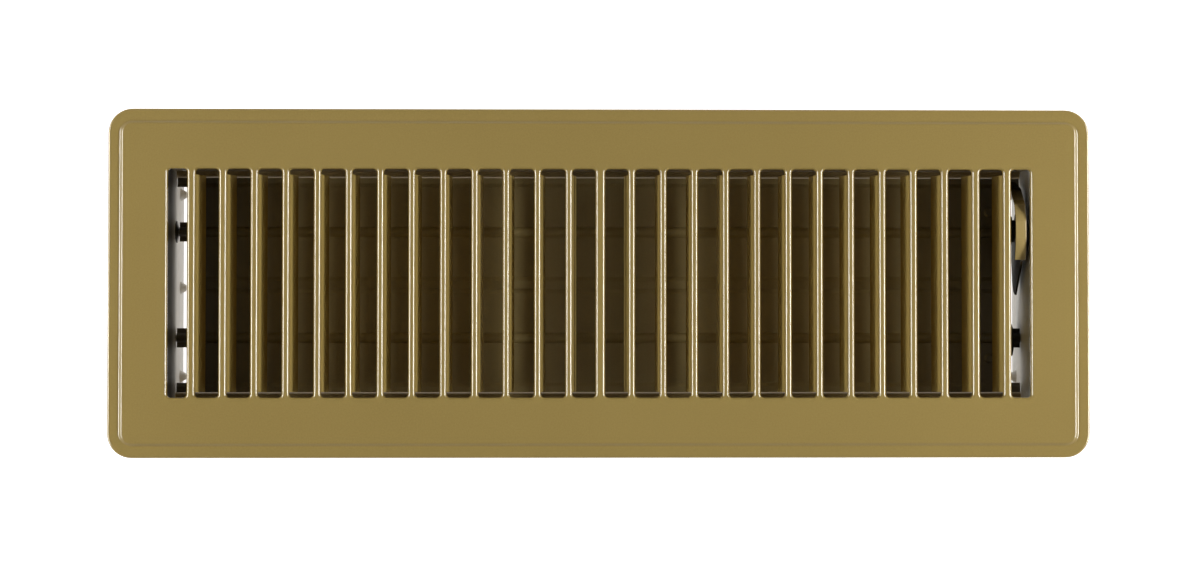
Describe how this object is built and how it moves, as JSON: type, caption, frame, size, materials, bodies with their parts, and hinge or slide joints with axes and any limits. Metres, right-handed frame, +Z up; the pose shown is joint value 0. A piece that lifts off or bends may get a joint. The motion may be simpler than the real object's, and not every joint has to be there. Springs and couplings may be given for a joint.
{
  "type": "floor register",
  "caption": "Steel floor register: a slotted tan face with a stepped rim, directional fins and a damper box whose two blades open together with a lever in the end slot.",
  "frame": {"origin": "middle of the face in plan, in the floor plane that the rim rests on", "axes": "+X along the face's long side, towards the end slot with the lever; +Y across the face, to the rear; +Z up, out of the floor"},
  "size_m": [0.3976, 0.1412, 0.0531],
  "materials": {
    "tan_enamel": "satin baked enamel with a fine grain",
    "galvanised_sheet": "dull galvanised sheet",
    "bare_steel": "drawn steel wire and rivets",
    "dark_steel": "blackened steel"
  },
  "bodies": {
    "frame": {"face_plate": "tan_enamel", "side_rail_rear": "tan_enamel", "side_rail_front": "tan_enamel", "end_bracket_left": "galvanised_sheet", "end_bracket_right": "galvanised_sheet", "corner_rivets": "bare_steel", "friction_washer": "dark_steel"},
    "rear_blade": {"damper_blade_rear": "tan_enamel", "pivot_rod_rear": "bare_steel", "operating_lever": "tan_enamel", "lever_rivets": "tan_enamel", "link_rivet_rear": "dark_steel"},
    "front_blade": {"damper_blade_front": "tan_enamel", "pivot_rod_front": "bare_steel", "crank_arm": "dark_steel", "crank_rivets": "tan_enamel", "link_rivet_front": "dark_steel"},
    "link": {"coupling_link": "dark_steel"}
  },
  "joints": [
    {"name": "damper_swing", "type": "hinge", "parent": "frame", "child": "rear_blade", "pos_m": [0, 0.02195, -0.0269], "axis": [1, 0, 0], "range_deg": [0, 55]},
    {"name": "front_blade_swing", "type": "hinge", "parent": "frame", "child": "front_blade", "pos_m": [0, -0.02195, -0.0269], "axis": [1, 0, 0], "range_deg": [-55, 0]},
    {"name": "link_pivot", "type": "hinge", "parent": "rear_blade", "child": "link", "pos_m": [0.1704, 0.02545, -0.02084], "axis": [1, 0, 0], "range_deg": [-55, 0]}
  ],
  "couplings": [
    {"joint": "front_blade_swing", "follows": "damper_swing", "ratio": -1},
    {"joint": "link_pivot", "follows": "damper_swing", "ratio": -1}
  ]
}
